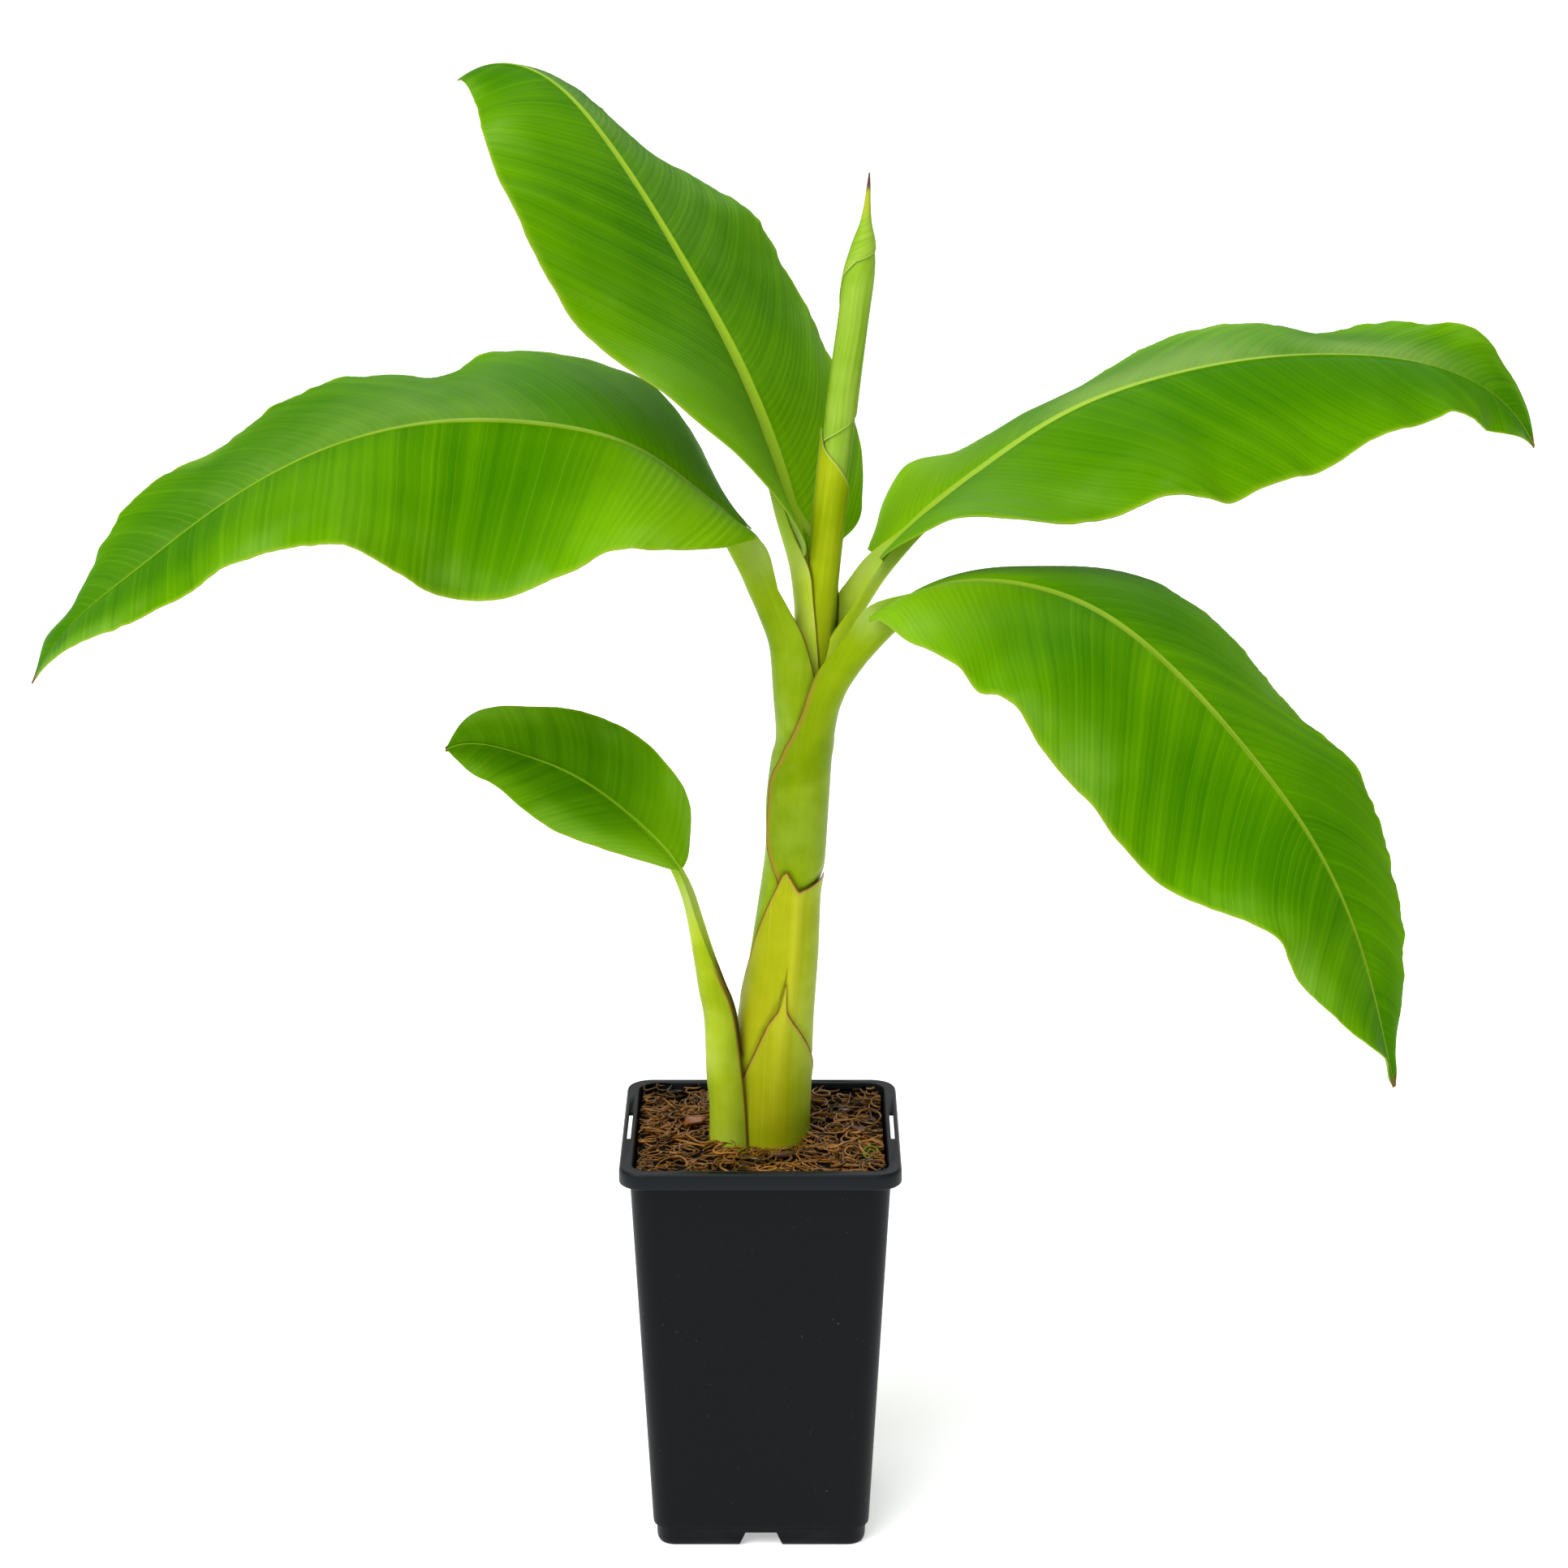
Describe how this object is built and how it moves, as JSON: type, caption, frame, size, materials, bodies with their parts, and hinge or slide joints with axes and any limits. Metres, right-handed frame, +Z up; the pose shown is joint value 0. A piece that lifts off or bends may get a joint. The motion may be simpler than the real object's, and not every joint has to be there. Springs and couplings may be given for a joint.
{
  "type": "potted banana plant",
  "caption": "Young banana plant in a square nursery pot, with a sheathed stem, broad arching leaves, an upright rolled leaf and a small sucker.",
  "frame": {"origin": "centre of the pot's flat underside", "axes": "+Z up, +X to the viewer's right, +Y away from the side that faces the viewer"},
  "size_m": [0.8013, 0.3655, 0.7842],
  "materials": {
    "pot": "matte to satin moulded black plastic",
    "soil": "loose brown coir fibre and bark",
    "stem": "smooth yellow-green sheath with a waxy bloom",
    "old_sheath": "smooth olive-yellow sheath with dry brown margins",
    "petiole": "smooth light green leaf stalk with a waxy bloom",
    "spear": "smooth light green rolled leaf",
    "leaf": "glossy mid green blade with parallel veins",
    "sucker_leaf": "glossy darker green blade with parallel veins"
  },
  "bodies": {
    "root": {"pot": "pot", "soil": "soil", "pseudostem": "stem", "upper_sheath": "old_sheath", "lower_sheath": "old_sheath", "spear_foot": "spear", "spear_leaf": "spear", "petiole_left": "petiole", "leaf_left_inner": "leaf", "leaf_left_outer": "leaf", "petiole_upright": "petiole", "leaf_upright": "leaf", "petiole_right_upper": "petiole", "leaf_right_upper_inner": "leaf", "leaf_right_upper_outer": "leaf", "petiole_right_lower": "petiole", "leaf_right_lower_inner": "leaf", "leaf_right_lower_outer": "leaf", "sucker_stem": "stem", "sucker_petiole": "petiole", "sucker_leaf": "sucker_leaf"}
  },
  "joints": []
}
